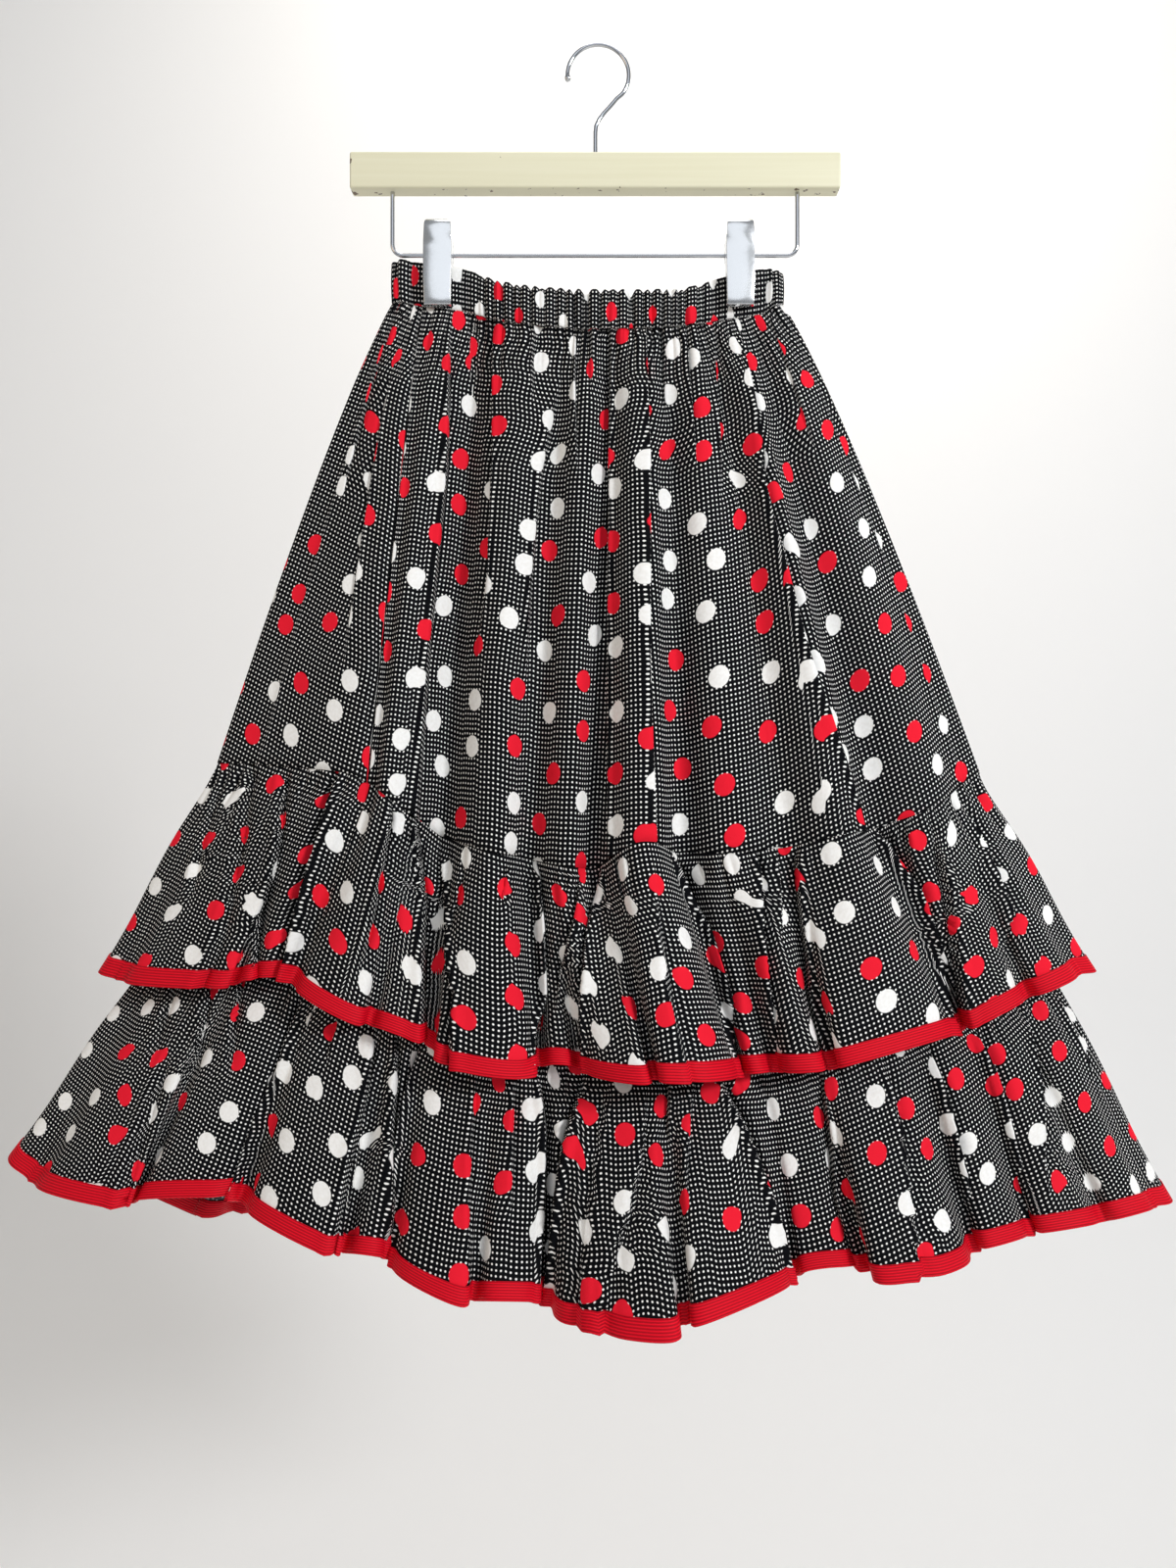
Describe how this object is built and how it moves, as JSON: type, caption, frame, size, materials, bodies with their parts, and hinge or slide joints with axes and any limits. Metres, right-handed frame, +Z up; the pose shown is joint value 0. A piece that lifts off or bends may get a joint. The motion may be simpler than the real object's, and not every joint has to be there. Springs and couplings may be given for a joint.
{
  "type": "skirt on a clip hanger",
  "caption": "Gathered skirt with a hidden tier, tiered ruffles and braid-bound hems, clipped to a bar hanger with a wire hook.",
  "frame": {"origin": "inside of the hook's top, where the hanger rests on a peg or rail", "axes": "+X to the viewer's right along the bar, +Y back towards the wall, +Z up"},
  "size_m": [0.8498, 0.1845, 0.8872],
  "materials": {
    "printed_cotton": "matt plain weave, black with white pin dots and large red and off-white dots",
    "red_braid": "ribbed red braid, low sheen",
    "cream_painted_wood": "cream gloss paint, worn at the edges",
    "chrome_wire": "bright plated wire",
    "clip_steel": "bright plated pressed steel"
  },
  "bodies": {
    "root": {"waistband": "printed_cotton", "body_front": "printed_cotton", "body_back": "printed_cotton", "under_tier_front": "printed_cotton", "under_tier_back": "printed_cotton", "upper_ruffle_front": "printed_cotton", "upper_ruffle_back": "printed_cotton", "lower_ruffle_front": "printed_cotton", "lower_ruffle_back": "printed_cotton", "upper_braid_front": "red_braid", "upper_braid_back": "red_braid", "lower_braid_front": "red_braid", "lower_braid_back": "red_braid", "hanger_bar": "cream_painted_wood", "hanger_hook": "chrome_wire", "bail_wire": "chrome_wire", "clip_left_front": "clip_steel", "clip_left_back": "clip_steel", "clip_left_spring": "clip_steel", "clip_right_front": "clip_steel", "clip_right_back": "clip_steel", "clip_right_spring": "clip_steel"}
  },
  "joints": []
}
